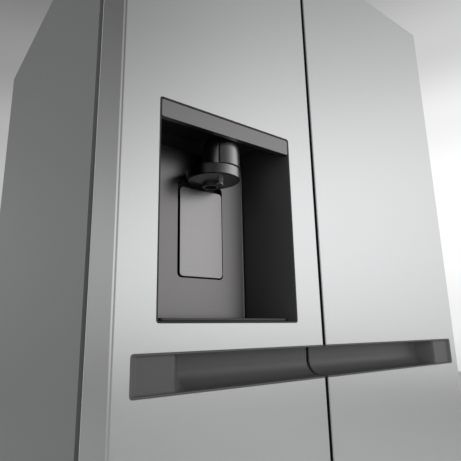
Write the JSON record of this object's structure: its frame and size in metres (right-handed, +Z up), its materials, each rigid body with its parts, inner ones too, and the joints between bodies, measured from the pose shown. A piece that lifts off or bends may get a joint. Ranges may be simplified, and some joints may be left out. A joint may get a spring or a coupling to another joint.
{
  "type": "side by side refrigerator",
  "caption": "Free-standing side by side refrigerator with pocket handles, an ice and water dispenser in the freezer door, bins, shelves and drawers.",
  "frame": {"origin": "on the floor under the middle of the refrigerator's box", "axes": "+Z up, the doors face -Y, +X to the right seen from the front"},
  "size_m": [0.912, 0.857, 1.785],
  "materials": {
    "satin_steel": "fine brushed satin steel",
    "case_paint": "satin grey paint",
    "zinc_steel": "plain zinc plated steel",
    "foam": "rigid polyurethane foam",
    "white_plastic": "smooth white moulding",
    "clear_plastic": "clear polystyrene",
    "shelf_glass": "tempered glass",
    "light_lens": "frosted lens",
    "dark_plastic": "satin dark grey moulding",
    "dark_gloss": "gloss dark moulding",
    "seal_rubber": "soft matte seal",
    "coil_alloy": "mill finish fins",
    "chrome": "polished chrome"
  },
  "bodies": {
    "cabinet": {"back_panel": "zinc_steel", "base_frame": "zinc_steel", "bottom_hinge_left": "zinc_steel", "bottom_hinge_right": "zinc_steel", "centre_mullion": "case_paint", "compressor": "dark_plastic", "condenser": "zinc_steel", "crisper_cover": "shelf_glass", "evaporator": "coil_alloy", "evaporator_cover": "white_plastic", "freezer_liner": "white_plastic", "freezer_shelf_1": "shelf_glass", "freezer_shelf_2": "shelf_glass", "fridge_liner": "white_plastic", "fridge_shelf_1": "shelf_glass", "fridge_shelf_2": "shelf_glass", "hinge_cover_left": "dark_plastic", "hinge_cover_right": "dark_plastic", "ice_maker": "white_plastic", "insulation_foam": "foam", "light_freezer": "light_lens", "light_fridge": "light_lens", "machine_cover": "dark_plastic", "outer_case": "case_paint", "power_gland": "dark_plastic", "top_hinge_left": "zinc_steel", "top_hinge_right": "zinc_steel"},
    "left_door": {"left_door_shell": "satin_steel", "left_door_liner": "white_plastic", "left_gasket": "seal_rubber", "left_pocket": "dark_plastic", "dispenser_housing": "dark_plastic", "dispenser_fascia": "dark_gloss", "spout_dome": "dark_gloss", "spout_ring": "dark_plastic", "water_nozzle": "chrome"},
    "right_door": {"right_door_shell": "satin_steel", "right_door_liner": "white_plastic", "right_gasket": "seal_rubber", "right_pocket": "dark_plastic"},
    "paddle": {"dispense_paddle": "dark_plastic"},
    "tray": {"drip_tray": "dark_plastic"},
    "foot_left": {"levelling_foot_left": "dark_plastic"},
    "foot_right": {"levelling_foot_right": "dark_plastic"},
    "roller_left": {"rear_roller_left": "seal_rubber"},
    "roller_right": {"rear_roller_right": "seal_rubber"},
    "condenser_blades": {"condenser_fan": "white_plastic"},
    "evaporator_blades": {"evaporator_fan": "white_plastic"},
    "filter": {"water_filter": "white_plastic"},
    "grille": {"base_grille": "dark_plastic"},
    "ice_drawer": {"ice_bin": "clear_plastic"},
    "freezer_drawer_lower": {"freezer_drawer_lower": "clear_plastic"},
    "freezer_drawer_upper": {"freezer_drawer_upper": "clear_plastic"},
    "crisper_lower": {"crisper_lower": "clear_plastic"},
    "crisper_upper": {"crisper_upper": "clear_plastic"},
    "left_door_bin_1": {"left_door_bin_1": "clear_plastic"},
    "left_door_bin_2": {"left_door_bin_2": "clear_plastic"},
    "right_door_bin_1": {"right_door_bin_1": "clear_plastic"},
    "right_door_bin_2": {"right_door_bin_2": "clear_plastic"},
    "right_door_bin_3": {"right_door_bin_3": "clear_plastic"}
  },
  "joints": [
    {"name": "left_door_hinge", "type": "hinge", "parent": "cabinet", "child": "left_door", "pos_m": [-0.436, -0.3935, 0.098], "axis": [0, 0, -1], "range_deg": [0, 120]},
    {"name": "right_door_hinge", "type": "hinge", "parent": "cabinet", "child": "right_door", "pos_m": [0.436, -0.3935, 0.098], "axis": [0, 0, 1], "range_deg": [0, 120]},
    {"name": "paddle_press", "type": "hinge", "parent": "left_door", "child": "paddle", "pos_m": [-0.24835, -0.338, 1.187], "axis": [1, 0, 0], "range_deg": [0, 2.2], "stiffness_Nm_per_rad": 0.6},
    {"name": "tray_lift", "type": "slide", "parent": "left_door", "child": "tray", "axis": [0, 0, 1], "range_m": [0, 0.03]},
    {"name": "foot_left_turn", "type": "hinge", "parent": "cabinet", "child": "foot_left", "pos_m": [-0.422, -0.2905, 0.01], "axis": [0, 0, 1], "continuous": true},
    {"name": "roller_left_spin", "type": "hinge", "parent": "cabinet", "child": "roller_left", "pos_m": [-0.422, 0.3485, 0.024], "axis": [1, 0, 0], "continuous": true},
    {"name": "foot_right_turn", "type": "hinge", "parent": "cabinet", "child": "foot_right", "pos_m": [0.422, -0.2905, 0.01], "axis": [0, 0, 1], "continuous": true},
    {"name": "roller_right_spin", "type": "hinge", "parent": "cabinet", "child": "roller_right", "pos_m": [0.422, 0.3485, 0.024], "axis": [1, 0, 0], "continuous": true},
    {"name": "condenser_fan_spin", "type": "hinge", "parent": "cabinet", "child": "condenser_blades", "pos_m": [0.03, 0.3155, 0.17], "axis": [0, 1, 0], "continuous": true},
    {"name": "evaporator_fan_spin", "type": "hinge", "parent": "cabinet", "child": "evaporator_blades", "pos_m": [-0.2355, 0.3185, 0.89], "axis": [0, 1, 0], "continuous": true},
    {"name": "filter_twist", "type": "hinge", "parent": "cabinet", "child": "filter", "pos_m": [0.357, 0.06, 1.641], "axis": [0, 1, 0], "range_deg": [0, 90]},
    {"name": "grille_pull", "type": "slide", "parent": "cabinet", "child": "grille", "axis": [0, -1, 0], "range_m": [0, 0.04]},
    {"name": "freezer_drawer_lower_slide", "type": "slide", "parent": "cabinet", "child": "freezer_drawer_lower", "axis": [0, -1, 0], "range_m": [0, 0.18]},
    {"name": "freezer_drawer_upper_slide", "type": "slide", "parent": "cabinet", "child": "freezer_drawer_upper", "axis": [0, -1, 0], "range_m": [0, 0.18]},
    {"name": "ice_bin_slide", "type": "slide", "parent": "cabinet", "child": "ice_drawer", "axis": [0, -1, 0], "range_m": [0, 0.18]},
    {"name": "crisper_lower_slide", "type": "slide", "parent": "cabinet", "child": "crisper_lower", "axis": [0, -1, 0], "range_m": [0, 0.18]},
    {"name": "crisper_upper_slide", "type": "slide", "parent": "cabinet", "child": "crisper_upper", "axis": [0, -1, 0], "range_m": [0, 0.18]},
    {"name": "left_door_bin_1_lift", "type": "slide", "parent": "left_door", "child": "left_door_bin_1", "axis": [0, 0, 1], "range_m": [0, 0.04]},
    {"name": "left_door_bin_2_lift", "type": "slide", "parent": "left_door", "child": "left_door_bin_2", "axis": [0, 0, 1], "range_m": [0, 0.04]},
    {"name": "right_door_bin_1_lift", "type": "slide", "parent": "right_door", "child": "right_door_bin_1", "axis": [0, 0, 1], "range_m": [0, 0.04]},
    {"name": "right_door_bin_2_lift", "type": "slide", "parent": "right_door", "child": "right_door_bin_2", "axis": [0, 0, 1], "range_m": [0, 0.04]},
    {"name": "right_door_bin_3_lift", "type": "slide", "parent": "right_door", "child": "right_door_bin_3", "axis": [0, 0, 1], "range_m": [0, 0.04]}
  ],
  "couplings": [
    {"joint": "freezer_drawer_lower_slide", "follows": "left_door_hinge", "m_per_rad": 0.085},
    {"joint": "freezer_drawer_upper_slide", "follows": "left_door_hinge", "m_per_rad": 0.085},
    {"joint": "ice_bin_slide", "follows": "left_door_hinge", "m_per_rad": 0.085},
    {"joint": "crisper_lower_slide", "follows": "right_door_hinge", "m_per_rad": 0.085},
    {"joint": "crisper_upper_slide", "follows": "right_door_hinge", "m_per_rad": 0.085}
  ]
}
